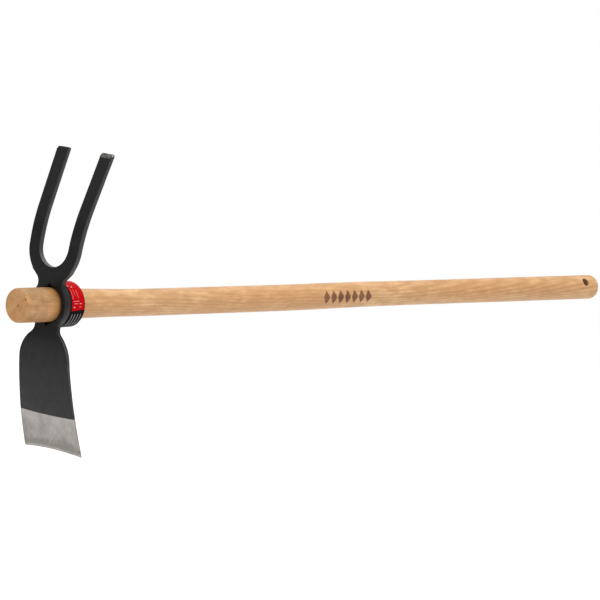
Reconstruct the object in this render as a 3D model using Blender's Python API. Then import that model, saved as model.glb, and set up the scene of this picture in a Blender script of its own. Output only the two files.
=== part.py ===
"""Combination hoe: one forging with a two-tine fork above its eye and a draw blade below it,
jammed on the cone of a turned wooden handle, with a printed label wrapped round the eye's collar.

Metres. The origin is the centre of the handle's flat head end. +X runs along the handle to the
grip end, +Z runs up to the tine tips, and the cutting edge points down to -Z.
"""
import math

import bmesh
import bpy
from mathutils import Vector

# Handle, turned about the X axis
HANDLE_LENGTH = 0.900
HEAD_END_DIAMETER = 0.0341
HEAD_END_ROUND = 0.0025
CONE_START = 0.034
CONE_END = 0.094
CONE_END_DIAMETER = 0.0291
GRIP_START = 0.150
GRIP_DIAMETER = 0.0274
WAIST_START_FROM_GRIP_END = 0.500
WAIST_FROM_GRIP_END = 0.300
WAIST_DIAMETER = 0.0263
SWELL_FROM_GRIP_END = 0.030
SWELL_DIAMETER = 0.0269
GRIP_END_ROUND = 0.0065
HOLE_FROM_GRIP_END = 0.0252
HOLE_DIAMETER = 0.0090
HOLE_TILT = math.radians(34.5)

# Eye: the front face is a flat ring, and a collar runs back from it along the handle
EYE_FRONT = 0.0421
EYE_RADIUS = 0.0240
EYE_LENGTH = 0.0302
COLLAR_RADIUS = 0.0229
COLLAR_BACK_RADIUS = 0.0219
COLLAR_ROUND = 0.0012
MOUTH_CHAMFER = 0.0018
FIT_CLEARANCE = 0.0003
NOTCH_WIDTH = 0.0055
NOTCH_DEPTH = 0.0032

# Fork, as heights above the handle's axis and widths across it
FORK_HEIGHT = 0.1530
FORK_WIDTH_AT_BEND = 0.0690
FORK_WIDTH_AT_TIPS = 0.0772
FORK_OUTER_RADIUS = 0.0388
FORK_BEND_HEIGHT = 0.0578
CROTCH_HEIGHT = 0.0372
GAP_AT_BEND = 0.0400
GAP_AT_TIPS = 0.0452
FORK_ROOT_THICKNESS = 0.0060
TINE_TIP_THICKNESS = 0.0045
TIP_BEVEL_LENGTH = 0.0030
TIP_BEVEL_DEPTH = 0.0014
FORK_CURVE_START = 0.0335
FORK_CURVE_RADIUS = 0.1750
FORK_LEAN = math.radians(20.9)

# Blade, as depths below the handle's axis and widths across it
BLADE_DEPTH = 0.1473
SHOULDER_DEPTH = 0.0565
SHOULDER_RADIUS = 0.0340
BLADE_WIDTH_AT_SHOULDER = 0.0680
BLADE_WIDTH_AT_EDGE = 0.0805
EDGE_HOLLOW = 0.0026
GRIND_BOW = 0.0010
BLADE_DISH = 0.0012
BLADE_ROOT_THICKNESS = 0.0052
BLADE_TIP_THICKNESS = 0.0018
GRIND_LENGTH = 0.0389
EDGE_THICKNESS = 0.0007
EDGE_BEVEL_LENGTH = 0.0028
BLADE_SET_FORWARD = 0.0019
BLADE_CURVE_START = 0.0360
BLADE_UPPER_RADIUS = 0.185
BLADE_UPPER_LEAN = math.radians(10.2)
BLADE_LOWER_RADIUS = 0.520

# Forging details
NECK_FILLET = 0.0089
ROOT_FILLET = 0.0025
EDGE_ROUND = 0.0008

# Label
LABEL_SETBACK = 0.0095
LABEL_WIDTH = 0.0185
LABEL_THICKNESS = 0.00035
LABEL_CLEARANCE = 0.0003
LABEL_SEAM_STEPS = 1

# Facets
TURN_STEPS = 48
HEAD_COLUMNS = 12
GRIND_ROWS = 4
TINE_COLUMNS = 3
CUTTER_OVERRUN = 0.006


def clear_scene():
    for old in list(bpy.data.objects):
        bpy.data.objects.remove(old, do_unlink=True)


def make_material(name, colour, roughness, metallic):
    material = bpy.data.materials.new(name)
    material.use_nodes = True
    shader = material.node_tree.nodes["Principled BSDF"]
    shader.inputs["Base Color"].default_value = (*colour, 1.0)
    shader.inputs["Roughness"].default_value = roughness
    shader.inputs["Metallic"].default_value = metallic
    return material


def add_object(name, bm, materials, sharp_angle=35.0):
    """Turns a closed bmesh into an object with outward faces, shaded smooth but for its sharp edges."""
    bmesh.ops.recalc_face_normals(bm, faces=bm.faces)
    mesh = bpy.data.meshes.new(name)
    bm.to_mesh(mesh)
    bm.free()
    for material in materials:
        mesh.materials.append(material)
    mesh.shade_smooth()
    mesh.set_sharp_from_angle(angle=math.radians(sharp_angle))
    thing = bpy.data.objects.new(name, mesh)
    bpy.context.scene.collection.objects.link(thing)
    return thing


def as_cutter(thing):
    thing.hide_render = True
    thing.display_type = "WIRE"
    return thing


def combine(thing, cutter, operation):
    modifier = thing.modifiers.new(cutter.name, "BOOLEAN")
    modifier.operation = operation
    modifier.solver = "EXACT"
    modifier.object = cutter


def evenly(start, end, steps):
    """The values from start to end in equal steps, both ends included."""
    return [start + (end - start) * i / steps for i in range(steps + 1)]


def arc(centre, radius, start_angle, end_angle, steps):
    """Points of a circular arc, with angles counted from the first axis towards the second."""
    return [(centre[0] + radius * math.cos(a), centre[1] + radius * math.sin(a))
            for a in evenly(start_angle, end_angle, steps)]


# Handle


def handle_stations():
    """Distance from the head end and diameter at each place where the turned shape changes."""
    cone_middle = (CONE_START + CONE_END) / 2
    cone_middle_diameter = (HEAD_END_DIAMETER + CONE_END_DIAMETER) / 2
    return (
        (0.0, HEAD_END_DIAMETER),
        (CONE_START, HEAD_END_DIAMETER),
        (cone_middle, cone_middle_diameter),
        (CONE_END, CONE_END_DIAMETER),
        (GRIP_START, GRIP_DIAMETER),
        (HANDLE_LENGTH - WAIST_START_FROM_GRIP_END, GRIP_DIAMETER),
        (HANDLE_LENGTH - WAIST_FROM_GRIP_END, WAIST_DIAMETER),
        (HANDLE_LENGTH - SWELL_FROM_GRIP_END, SWELL_DIAMETER),
        (HANDLE_LENGTH, SWELL_DIAMETER),
    )


def station_slopes(stations):
    """Slope at each station, flat where the diameter turns, so that the curve never overshoots."""
    rates = [(b[1] - a[1]) / (b[0] - a[0]) for a, b in zip(stations, stations[1:])]
    inner = [2 * p * q / (p + q) if p * q > 0 else 0.0 for p, q in zip(rates, rates[1:])]
    return [rates[0], *inner, rates[-1]]


def handle_radius(x):
    """Radius of the turned handle at x, by cubic curves through its stations."""
    stations = handle_stations()
    slopes = station_slopes(stations)
    x = min(max(x, 0.0), HANDLE_LENGTH)
    index = max(i for i in range(len(stations) - 1) if stations[i][0] <= x)
    (x0, d0), (x1, d1) = stations[index], stations[index + 1]
    span = x1 - x0
    t = (x - x0) / span
    diameter = (d0 * (2 * t ** 3 - 3 * t ** 2 + 1) + d1 * (3 * t ** 2 - 2 * t ** 3)
                + slopes[index] * span * (t ** 3 - 2 * t ** 2 + t)
                + slopes[index + 1] * span * (t ** 3 - t ** 2))
    return diameter / 2


def turned(profile):
    """Closed bmesh of a profile of (x, radius) points turned about the X axis; radius 0 is a pole."""
    bm = bmesh.new()
    rings = []
    for x, radius in profile:
        if radius == 0:
            rings.append([bm.verts.new((x, 0, 0))])
            continue
        angles = evenly(0, 2 * math.pi, TURN_STEPS)[:-1]
        rings.append([bm.verts.new((x, radius * math.cos(a), radius * math.sin(a))) for a in angles])
    for near, far in zip(rings, rings[1:]):
        for i in range(TURN_STEPS):
            j = (i + 1) % TURN_STEPS
            corners = [near[i % len(near)], near[j % len(near)], far[j % len(far)], far[i % len(far)]]
            bm.faces.new(list(dict.fromkeys(corners)))
    return bm


def handle_profile():
    head_round_x = HEAD_END_ROUND
    head_round_r = handle_radius(head_round_x) - HEAD_END_ROUND
    grip_round_x = HANDLE_LENGTH - GRIP_END_ROUND
    grip_round_r = handle_radius(grip_round_x) - GRIP_END_ROUND
    head_arris = arc((head_round_x, head_round_r), HEAD_END_ROUND, math.pi, math.pi / 2, 4)
    grip_arris = arc((grip_round_x, grip_round_r), GRIP_END_ROUND, math.pi / 2, 0, 6)
    cone = evenly(head_round_x, GRIP_START, 14)[1:]
    grip = evenly(GRIP_START, grip_round_x, 24)[1:-1]
    body = [(x, handle_radius(x)) for x in cone + grip]
    return [(0, 0), *head_arris, *body, *grip_arris, (HANDLE_LENGTH, 0)]


def make_handle(wood):
    handle = add_object("handle", turned(handle_profile()), [wood])
    reach = SWELL_DIAMETER / 2 + CUTTER_OVERRUN
    profile = [(-reach, 0), (-reach, HOLE_DIAMETER / 2), (reach, HOLE_DIAMETER / 2), (reach, 0)]
    hole = as_cutter(add_object("hanging_hole_cutter", turned(profile), []))
    hole.location = (HANDLE_LENGTH - HOLE_FROM_GRIP_END, 0, 0)
    way_in = Vector((0, math.cos(HOLE_TILT), -math.sin(HOLE_TILT)))
    hole.rotation_mode = "QUATERNION"
    hole.rotation_quaternion = Vector((1, 0, 0)).rotation_difference(way_in)
    combine(handle, hole, "DIFFERENCE")
    return handle


# Head: the outline is drawn across the handle as (y, z) points, y to the side and z up


def touching_centre(centre_a, radius_a, centre_b, radius_b, radius):
    """Centre, on the +Y side, of the circle that touches two others from outside."""
    gap = math.dist(centre_a, centre_b)
    along = ((centre_b[0] - centre_a[0]) / gap, (centre_b[1] - centre_a[1]) / gap)
    reach_a, reach_b = radius_a + radius, radius_b + radius
    distance = (reach_a ** 2 - reach_b ** 2 + gap ** 2) / (2 * gap)
    offset = math.sqrt(reach_a ** 2 - distance ** 2)
    options = [(centre_a[0] + distance * along[0] + side * offset * along[1],
                centre_a[1] + distance * along[1] - side * offset * along[0]) for side in (-1, 1)]
    return max(options)


def angle_of(centre, point):
    return math.atan2(point[1] - centre[1], point[0] - centre[0])


SHOULDER_CENTRE = (BLADE_WIDTH_AT_SHOULDER / 2 - SHOULDER_RADIUS, -SHOULDER_DEPTH)
FORK_CENTRE = (FORK_WIDTH_AT_BEND / 2 - FORK_OUTER_RADIUS, FORK_BEND_HEIGHT)
EYE_CENTRE = (0.0, 0.0)
CROTCH_RADIUS = GAP_AT_BEND / 2
CROTCH_CENTRE = (0.0, CROTCH_HEIGHT + CROTCH_RADIUS)
LOWER_FILLET = touching_centre(EYE_CENTRE, EYE_RADIUS, SHOULDER_CENTRE, SHOULDER_RADIUS, NECK_FILLET)
UPPER_FILLET = touching_centre(EYE_CENTRE, EYE_RADIUS, FORK_CENTRE, FORK_OUTER_RADIUS, NECK_FILLET)
GRIND_TOP = GRIND_LENGTH - BLADE_DEPTH


def lower_outline():
    """Side of the head from the blade's corner up to the fork's outer curve, as (half width, z)."""
    edge = (BLADE_WIDTH_AT_EDGE / 2, -BLADE_DEPTH)
    shoulder = (BLADE_WIDTH_AT_SHOULDER / 2, -SHOULDER_DEPTH)

    def side_at(z):
        t = (z - edge[1]) / (shoulder[1] - edge[1])
        return (edge[0] + t * (shoulder[0] - edge[0]), z)

    ground = [side_at(z) for z in evenly(edge[1] + EDGE_BEVEL_LENGTH, GRIND_TOP, GRIND_ROWS)]
    lacquered = [side_at(z) for z in evenly(GRIND_TOP, shoulder[1], 6)[1:]]
    shoulder_end = angle_of(SHOULDER_CENTRE, LOWER_FILLET)
    shoulder_arc = arc(SHOULDER_CENTRE, SHOULDER_RADIUS, 0, shoulder_end, 9)[1:]
    eye_start = angle_of(EYE_CENTRE, LOWER_FILLET)
    eye_end = angle_of(EYE_CENTRE, UPPER_FILLET)
    lower_fillet = arc(LOWER_FILLET, NECK_FILLET, angle_of(LOWER_FILLET, SHOULDER_CENTRE) % (2 * math.pi),
                       angle_of(LOWER_FILLET, EYE_CENTRE) % (2 * math.pi), 5)[1:]
    eye_arc = arc(EYE_CENTRE, EYE_RADIUS, eye_start, eye_end, 8)[1:]
    upper_fillet = arc(UPPER_FILLET, NECK_FILLET, angle_of(UPPER_FILLET, EYE_CENTRE) % (2 * math.pi),
                       angle_of(UPPER_FILLET, FORK_CENTRE) % (2 * math.pi), 5)[1:]
    return [edge, *ground, *lacquered, *shoulder_arc, *lower_fillet, *eye_arc], upper_fillet


def row_rise(z):
    """How far a row of the blade stands higher in the middle than at its sides."""
    if z < GRIND_TOP:
        share = (GRIND_TOP - z) / GRIND_LENGTH
        return share * EDGE_HOLLOW - (1 - share) * GRIND_BOW
    share = max(0.0, (z + SHOULDER_DEPTH) / (GRIND_TOP + SHOULDER_DEPTH))
    return -share * GRIND_BOW


def head_rows():
    """Rows of (y, z) points across the blade and the neck, from the cutting edge to the fork's root."""
    lower, neck = lower_outline()
    shares = evenly(-1, 1, HEAD_COLUMNS)
    rows = [[(half * s, z + row_rise(z) * (1 - s * s)) for s in shares] for half, z in lower]
    root_radius = math.dist(CROTCH_CENTRE, neck[-1])
    for step, (half, z) in enumerate(neck, start=1):
        blend = step / len(neck)
        half_end = neck[-1][0]
        row = []
        for s in shares:
            dip = CROTCH_CENTRE[1] - math.sqrt(root_radius ** 2 - (half_end * s) ** 2) - neck[-1][1]
            row.append((half * s, z + blend * dip))
        rows.append(row)
    return rows


def tine_stations():
    """Pairs of outer and inner (y, z) points up the +Y tine, from just above its root to its tip."""
    root_angle = angle_of(FORK_CENTRE, UPPER_FILLET)
    outer_bend = arc(FORK_CENTRE, FORK_OUTER_RADIUS, root_angle, 0, 7)[1:]
    tangent = (FORK_CENTRE[0] + FORK_OUTER_RADIUS * math.cos(root_angle),
               FORK_CENTRE[1] + FORK_OUTER_RADIUS * math.sin(root_angle))
    inner_bend = arc(CROTCH_CENTRE, CROTCH_RADIUS, angle_of(CROTCH_CENTRE, tangent), 0, 7)[1:]
    bevel_start = 1 - TIP_BEVEL_LENGTH / (FORK_HEIGHT - FORK_BEND_HEIGHT)
    shares = [*evenly(0, bevel_start, 10)[1:], 1.0]
    outer_tip = (FORK_WIDTH_AT_TIPS / 2, FORK_HEIGHT)
    inner_tip = (GAP_AT_TIPS / 2, FORK_HEIGHT)

    def between(start, end, t):
        return (start[0] + t * (end[0] - start[0]), start[1] + t * (end[1] - start[1]))

    outer = outer_bend + [between(outer_bend[-1], outer_tip, t) for t in shares]
    inner = inner_bend + [between(inner_bend[-1], inner_tip, t) for t in shares]
    return list(zip(outer, inner))


def head_sheet():
    """Flat sheet of quads in the shape of the head's outline; its ground faces have material index 1."""
    bm = bmesh.new()

    def vertex(point):
        return bm.verts.new((0, point[0], point[1]))

    def strip(outer_vertex, inner_point):
        start = (outer_vertex.co.y, outer_vertex.co.z)
        across = [(start[0] + t * (inner_point[0] - start[0]), start[1] + t * (inner_point[1] - start[1]))
                  for t in evenly(0, 1, TINE_COLUMNS)[1:]]
        return [outer_vertex, *[vertex(p) for p in across]]

    def fill(rows, ground_rows=0):
        for count, (low, high) in enumerate(zip(rows, rows[1:])):
            for i in range(len(low) - 1):
                face = bm.faces.new((low[i], low[i + 1], high[i + 1], high[i]))
                face.material_index = int(count < ground_rows)

    rows = [[vertex(p) for p in row] for row in head_rows()]
    fill(rows, GRIND_ROWS + 1)
    root = []
    for outer in rows[-1]:
        angle = angle_of(CROTCH_CENTRE, (outer.co.y, outer.co.z))
        root.append(strip(outer, arc(CROTCH_CENTRE, CROTCH_RADIUS, angle, angle, 1)[0]))
    stations = tine_stations()
    right = [strip(vertex(outer), inner) for outer, inner in stations]
    left = [strip(vertex((-outer[0], outer[1])), (-inner[0], inner[1])) for outer, inner in stations]
    fill([*reversed(left), *root, *right])
    return bm


def fork_curve(distance):
    """Backward offset and lean of the fork at a distance past its curve's start: an arc, then straight."""
    span = FORK_CURVE_RADIUS * math.sin(FORK_LEAN)
    angle = math.asin(min(max(distance, 0.0), span) / FORK_CURVE_RADIUS)
    straight = max(distance - span, 0.0) * math.tan(FORK_LEAN)
    return FORK_CURVE_RADIUS * (1 - math.cos(angle)) + straight, angle


def blade_curve(distance):
    """Backward offset and lean of the blade at a distance past its curve's start: a tight arc, then a wide one."""
    span = BLADE_UPPER_RADIUS * math.sin(BLADE_UPPER_LEAN)
    angle = math.asin(min(max(distance, 0.0), span) / BLADE_UPPER_RADIUS)
    offset = BLADE_UPPER_RADIUS * (1 - math.cos(angle))
    if distance <= span:
        return offset, angle
    lean = math.asin((distance - span) / BLADE_LOWER_RADIUS + math.sin(BLADE_UPPER_LEAN))
    return offset + BLADE_LOWER_RADIUS * (math.cos(BLADE_UPPER_LEAN) - math.cos(lean)), lean


def ease(value):
    t = min(max(value, 0.0), 1.0)
    return t * t * (3 - 2 * t)


def root_extra(y, z):
    """Added thickness of the forged fillet where the plate runs into the collar behind it."""
    short = ROOT_FILLET - max(math.hypot(y, z) - COLLAR_RADIUS, 0.0)
    if short <= 0:
        return 0.0
    return ROOT_FILLET - math.sqrt(ROOT_FILLET ** 2 - short ** 2)


def head_section(y, z):
    """The head at a point of its outline: front x, lean (down the blade negative), front cut, thickness."""
    if z >= 0:
        back, lean = fork_curve(z - FORK_CURVE_START)
        share = ease((z - CROTCH_HEIGHT) / (FORK_HEIGHT - CROTCH_HEIGHT))
        thickness = FORK_ROOT_THICKNESS + share * (TINE_TIP_THICKNESS - FORK_ROOT_THICKNESS)
        cut = TIP_BEVEL_DEPTH * max(0.0, 1 - (FORK_HEIGHT - z) / TIP_BEVEL_LENGTH)
    else:
        back, lean = blade_curve(-z - BLADE_CURVE_START)
        lean = -lean
        back -= BLADE_SET_FORWARD * ease((-z - EYE_RADIUS / 2) / (BLADE_CURVE_START - EYE_RADIUS / 2))
        below_eye = max(0.0, -z - EYE_RADIUS) / (BLADE_DEPTH - EYE_RADIUS)
        at_eye = ease(-z / EYE_RADIUS)
        root = FORK_ROOT_THICKNESS + at_eye * (BLADE_ROOT_THICKNESS - FORK_ROOT_THICKNESS)
        thickness = root + below_eye * (BLADE_TIP_THICKNESS - root)
        grind_top = GRIND_TOP + row_rise(GRIND_TOP) * (1 - (2 * y / BLADE_WIDTH_AT_EDGE) ** 2)
        ground = max(0.0, (grind_top - z) / GRIND_LENGTH)
        cut = (BLADE_TIP_THICKNESS - EDGE_THICKNESS) * ground
        dish = ease((-z - SHOULDER_DEPTH / 2) / (BLADE_DEPTH - SHOULDER_DEPTH / 2))
        back += BLADE_DISH * dish * (2 * y / BLADE_WIDTH_AT_EDGE) ** 2
    return EYE_FRONT + back, lean, cut, thickness + root_extra(y, z)


def outline_insets(bm):
    """Unit vector into the sheet, stretched at corners, for each vertex on the sheet's outline."""
    insets = {}
    for edge in bm.edges:
        if not edge.is_boundary:
            continue
        a, b = edge.verts
        normal = (b.co - a.co).cross((1, 0, 0)).normalized()
        if normal.dot(edge.link_faces[0].calc_center_median() - a.co) < 0:
            normal.negate()
        for end in edge.verts:
            insets.setdefault(end.index, []).append(normal)
    joined = {}
    for index, (first, second) in insets.items():
        total = first + second
        joined[index] = total * (2 / total.length_squared)
    return joined


def make_head_plate():
    """Gives the flat sheet its curve, dish, taper, ground edge and rounded rim."""
    sheet = head_sheet()
    sheet.verts.index_update()
    sheet.faces.index_update()
    insets = outline_insets(sheet)
    bm = bmesh.new()
    front, back, rim_front, rim_back = {}, {}, {}, {}

    def place(y, z, depth):
        x, lean, _, _ = head_section(y, z)
        return bm.verts.new((x + depth * math.cos(lean), y, z - depth * math.sin(lean)))

    for vertex in sheet.verts:
        index, y, z = vertex.index, vertex.co.y, vertex.co.z
        _, _, cut, thickness = head_section(y, z)
        if index in insets:
            edge_round = min(EDGE_ROUND, 0.3 * (thickness - cut))
            rim_front[index] = place(y, z, cut + edge_round)
            rim_back[index] = place(y, z, thickness - edge_round)
            y += insets[index].y * edge_round
            z += insets[index].z * edge_round
        front[index] = place(y, z, cut)
        back[index] = place(y, z, thickness)

    for face in sheet.faces:
        order = [v.index for v in face.verts]
        skin = bm.faces.new([front[i] for i in order])
        bm.faces.new([back[i] for i in reversed(order)])
        skin.material_index = face.material_index
    layers = (front, rim_front, rim_back, back)
    for edge in sheet.edges:
        if not edge.is_boundary:
            continue
        a, b = edge.verts
        for upper, lower in zip(layers, layers[1:]):
            side = bm.faces.new((upper[a.index], upper[b.index], lower[b.index], lower[a.index]))
            side.material_index = edge.link_faces[0].material_index
    sheet.free()
    return bm


def collar_radius(x):
    """Outer radius of the collar, which narrows from the plate's front face to its own back end."""
    share = (x - EYE_FRONT) / EYE_LENGTH
    return COLLAR_RADIUS + share * (COLLAR_BACK_RADIUS - COLLAR_RADIUS)


def collar_profile():
    start = EYE_FRONT + FORK_ROOT_THICKNESS / 2
    end = EYE_FRONT + EYE_LENGTH
    rim_start = end - COLLAR_ROUND
    rim = arc((rim_start, collar_radius(rim_start) - COLLAR_ROUND), COLLAR_ROUND, math.pi / 2, 0, 3)
    return [(start, 0), (start, collar_radius(start)), *rim, (end, 0)]


def bore_profile():
    """The handle's own cone, wider by the clearance all round and chamfered at the mouth."""
    start = EYE_FRONT - CUTTER_OVERRUN
    end = EYE_FRONT + EYE_LENGTH + CUTTER_OVERRUN
    cone = [(x, handle_radius(x) + FIT_CLEARANCE) for x in evenly(EYE_FRONT + MOUTH_CHAMFER, end, 8)]
    mouth_radius = cone[0][1] + MOUTH_CHAMFER + CUTTER_OVERRUN
    return [(start, 0), (start, mouth_radius), *cone, (end, 0)]


def notch_prism():
    """Six-sided bar through the eye whose two points leave the notches above and below the handle."""
    start = EYE_FRONT - CUTTER_OVERRUN
    end = EYE_FRONT + EYE_LENGTH + CUTTER_OVERRUN
    wall = handle_radius(EYE_FRONT) + FIT_CLEARANCE
    half = NOTCH_WIDTH / 2
    shoulder = math.sqrt(wall ** 2 - half ** 2) - FIT_CLEARANCE
    point = wall + NOTCH_DEPTH
    outline = [(0, point), (-half, shoulder), (-half, -shoulder), (0, -point), (half, -shoulder), (half, shoulder)]
    bm = bmesh.new()
    near = [bm.verts.new((start, y, z)) for y, z in outline]
    far = [bm.verts.new((end, y, z)) for y, z in outline]
    bm.faces.new(near)
    bm.faces.new(list(reversed(far)))
    for i in range(len(outline)):
        j = (i + 1) % len(outline)
        bm.faces.new((near[i], far[i], far[j], near[j]))
    return bm


def make_head(lacquer, ground_steel):
    head = add_object("head", make_head_plate(), [lacquer, ground_steel])
    collar = as_cutter(add_object("eye_collar_blank", turned(collar_profile()), [lacquer]))
    bore = as_cutter(add_object("eye_bore_cutter", turned(bore_profile()), [lacquer]))
    notch = as_cutter(add_object("eye_notch_cutter", notch_prism(), [lacquer]))
    combine(head, collar, "UNION")
    combine(head, notch, "DIFFERENCE")
    combine(head, bore, "DIFFERENCE")
    return head


# Label


def make_label(paper):
    """Thin band round the collar, closed but for a seam on the +Y side."""
    start = EYE_FRONT + LABEL_SETBACK
    end = start + LABEL_WIDTH
    inner = [(x, collar_radius(x) + LABEL_CLEARANCE) for x in (start, end)]
    outer = [(x, radius + LABEL_THICKNESS) for x, radius in inner]
    section = [*inner, *reversed(outer)]
    angles = evenly(0, 2 * math.pi, TURN_STEPS)[:TURN_STEPS + 1 - LABEL_SEAM_STEPS]
    bm = bmesh.new()
    rings = [[bm.verts.new((x, r * math.cos(a), r * math.sin(a))) for x, r in section] for a in angles]
    for near, far in zip(rings, rings[1:]):
        for i in range(4):
            j = (i + 1) % 4
            bm.faces.new((near[i], near[j], far[j], far[i]))
    bm.faces.new(rings[0])
    bm.faces.new(list(reversed(rings[-1])))
    return add_object("label", bm, [paper])


def build():
    clear_scene()
    wood = make_material("handle_wood", (0.61, 0.38, 0.19), 0.5, 0.0)
    lacquer = make_material("black_lacquer", (0.02, 0.02, 0.02), 0.45, 0.0)
    ground_steel = make_material("ground_steel", (0.42, 0.40, 0.37), 0.4, 1.0)
    paper = make_material("label_paper", (0.55, 0.01, 0.02), 0.35, 0.0)
    make_handle(wood)
    make_head(lacquer, ground_steel)
    make_label(paper)


build()
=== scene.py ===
import math

import bmesh
import bpy
from mathutils import Matrix, Vector, noise


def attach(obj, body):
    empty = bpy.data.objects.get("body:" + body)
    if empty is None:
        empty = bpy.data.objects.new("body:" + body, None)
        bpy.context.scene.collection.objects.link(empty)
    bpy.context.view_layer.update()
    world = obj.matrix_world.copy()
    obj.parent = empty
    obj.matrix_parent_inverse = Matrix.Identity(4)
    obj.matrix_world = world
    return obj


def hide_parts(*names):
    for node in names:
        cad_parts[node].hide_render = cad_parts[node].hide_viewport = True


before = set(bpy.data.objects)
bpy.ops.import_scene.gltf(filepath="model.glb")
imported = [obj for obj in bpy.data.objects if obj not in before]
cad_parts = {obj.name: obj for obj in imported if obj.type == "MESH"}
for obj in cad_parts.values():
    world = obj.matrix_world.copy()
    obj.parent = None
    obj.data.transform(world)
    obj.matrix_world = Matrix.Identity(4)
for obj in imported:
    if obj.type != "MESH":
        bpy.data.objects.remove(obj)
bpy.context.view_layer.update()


# Camera: a long lens a little above the tool, on its -Y side and in front of the head end.
# It looks along the handle at a slant, so that the handle runs away to the right.
LOOKING_TURN = math.radians(41.93)
LOOKING_DOWN = math.radians(6.38)
CAMERA_ROLL = math.radians(-5.12)
PICTURE_SIDE = 600
FOCAL_PIXELS = 3961
HEAD_END_DEPTH = 3.838
HEAD_END_PIXEL = (16.6, 305.55)

forward = Vector((math.cos(LOOKING_TURN) * math.cos(LOOKING_DOWN),
                  math.sin(LOOKING_TURN) * math.cos(LOOKING_DOWN),
                  -math.sin(LOOKING_DOWN)))
level_right = Vector((math.sin(LOOKING_TURN), -math.cos(LOOKING_TURN), 0))
level_down = forward.cross(level_right)
right = math.cos(CAMERA_ROLL) * level_right + math.sin(CAMERA_ROLL) * level_down
down = math.cos(CAMERA_ROLL) * level_down - math.sin(CAMERA_ROLL) * level_right
beside = (HEAD_END_PIXEL[0] - PICTURE_SIDE / 2) / FOCAL_PIXELS * HEAD_END_DEPTH
below = (HEAD_END_PIXEL[1] - PICTURE_SIDE / 2) / FOCAL_PIXELS * HEAD_END_DEPTH
to_head_end = beside * right + below * down + HEAD_END_DEPTH * forward

lens = bpy.data.cameras.new("camera")
lens.sensor_width = 36
lens.lens = FOCAL_PIXELS / PICTURE_SIDE * lens.sensor_width
lens.clip_end = 100
camera = bpy.data.objects.new("camera", lens)
bpy.context.collection.objects.link(camera)
camera.matrix_world = (Matrix.Translation(-to_head_end)
                       @ Matrix((right, -down, -forward)).transposed().to_4x4())
bpy.context.scene.camera = camera
bpy.context.scene.view_settings.view_transform = "Standard"


# Studio: a matt white floor far enough below the tool that its shadow falls outside the picture,
# white surroundings, and three wide soft lamps.
FLOOR_HEIGHT = -0.62
FLOOR_SIZE = 7
FLOOR_WHITE = 0.8
FLOOR_GLOW = 0.62
SURROUNDINGS = 0.55
WALL_DIRECTION = (0.97, 0.25, 0.0)
WALL_EDGE = (0.1, 0.6)
DIM_ROOM = 0.26
LAMPS_AIM = (0.3, 0, 0)
# Name, place, side and power of each lamp.
LAMPS = (
    ("side_lamp", (0.3, -3.0, 1.9), 2.6, 50),
    ("front_lamp", (-3.0, -0.9, 1.0), 2.2, 22),
    ("top_lamp", (0.5, 0.1, 3.2), 2.2, 74),
)


def add_node(kind, inputs=None, **settings):
    """Adds a node to the tree being made; each input is a value or another node's output."""
    made = tree.nodes.new(kind)
    for name, value in settings.items():
        setattr(made, name, value)
    for key, value in (inputs or {}).items():
        if isinstance(value, bpy.types.NodeSocket):
            tree.links.new(value, made.inputs[key])
        else:
            made.inputs[key].default_value = value
    return made


def calculate(operation, *values):
    """The result of a Math node, as a socket."""
    return add_node("ShaderNodeMath", dict(enumerate(values)), operation=operation).outputs[0]


def remap(value, low, high, to_low=0.0, to_high=1.0, curve="LINEAR"):
    """A value stretched from one range to another and held at its ends."""
    ranges = {"Value": value, "From Min": low, "From Max": high,
              "To Min": to_low, "To Max": to_high}
    return add_node("ShaderNodeMapRange", ranges, interpolation_type=curve).outputs["Result"]


def new_material(name):
    """A new node material, its tree and its shader."""
    material = bpy.data.materials.new(name)
    material.use_nodes = True
    return material, material.node_tree, material.node_tree.nodes["Principled BSDF"]


# The camera sees plain white, and a reflection sees a dim room with a white wall past the grip end.
world = bpy.data.worlds.new("white_surroundings")
bpy.context.scene.world = world
world.use_nodes = True
tree = world.node_tree
tree.nodes.clear()
path = add_node("ShaderNodeLightPath")
direction = add_node("ShaderNodeTexCoord").outputs["Generated"]
towards_wall = add_node("ShaderNodeVectorMath", {0: direction, 1: WALL_DIRECTION},
                        operation="DOT_PRODUCT").outputs["Value"]
mirrored = calculate("MAXIMUM", path.outputs["Is Glossy Ray"], path.outputs["Is Transmission Ray"])
white_wall = calculate("MULTIPLY", mirrored, remap(towards_wall, *WALL_EDGE, DIM_ROOM, 1.0))
whiteness = calculate("MAXIMUM", path.outputs["Is Camera Ray"], white_wall)
lit = calculate("SUBTRACT", 1.0, calculate("MAXIMUM", path.outputs["Is Camera Ray"], mirrored))
strength = calculate("ADD", whiteness, calculate("MULTIPLY", lit, SURROUNDINGS))
background = add_node("ShaderNodeBackground", {"Color": (1, 1, 1, 1), "Strength": strength})
add_node("ShaderNodeOutputWorld", {"Surface": background.outputs[0]})

bpy.ops.object.select_all(action="DESELECT")
bpy.ops.mesh.primitive_plane_add(size=FLOOR_SIZE, location=(0, 0, FLOOR_HEIGHT))
floor = bpy.context.object
floor.name = "floor"
floor_paint, tree, shader = new_material("floor_paint")
tree.nodes.remove(shader)
matt = add_node("ShaderNodeBsdfDiffuse", {"Color": (FLOOR_WHITE, FLOOR_WHITE, FLOOR_WHITE, 1)})
path = add_node("ShaderNodeLightPath")
seen = calculate("MAXIMUM", path.outputs["Is Camera Ray"], path.outputs["Is Glossy Ray"])
seen = calculate("MAXIMUM", seen, path.outputs["Is Transmission Ray"])
glow = add_node("ShaderNodeEmission", {"Strength": calculate("MULTIPLY", seen, FLOOR_GLOW)})
both = add_node("ShaderNodeAddShader", {0: matt.outputs[0], 1: glow.outputs[0]})
tree.links.new(both.outputs[0], tree.nodes["Material Output"].inputs["Surface"])
floor.data.materials.append(floor_paint)

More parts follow.
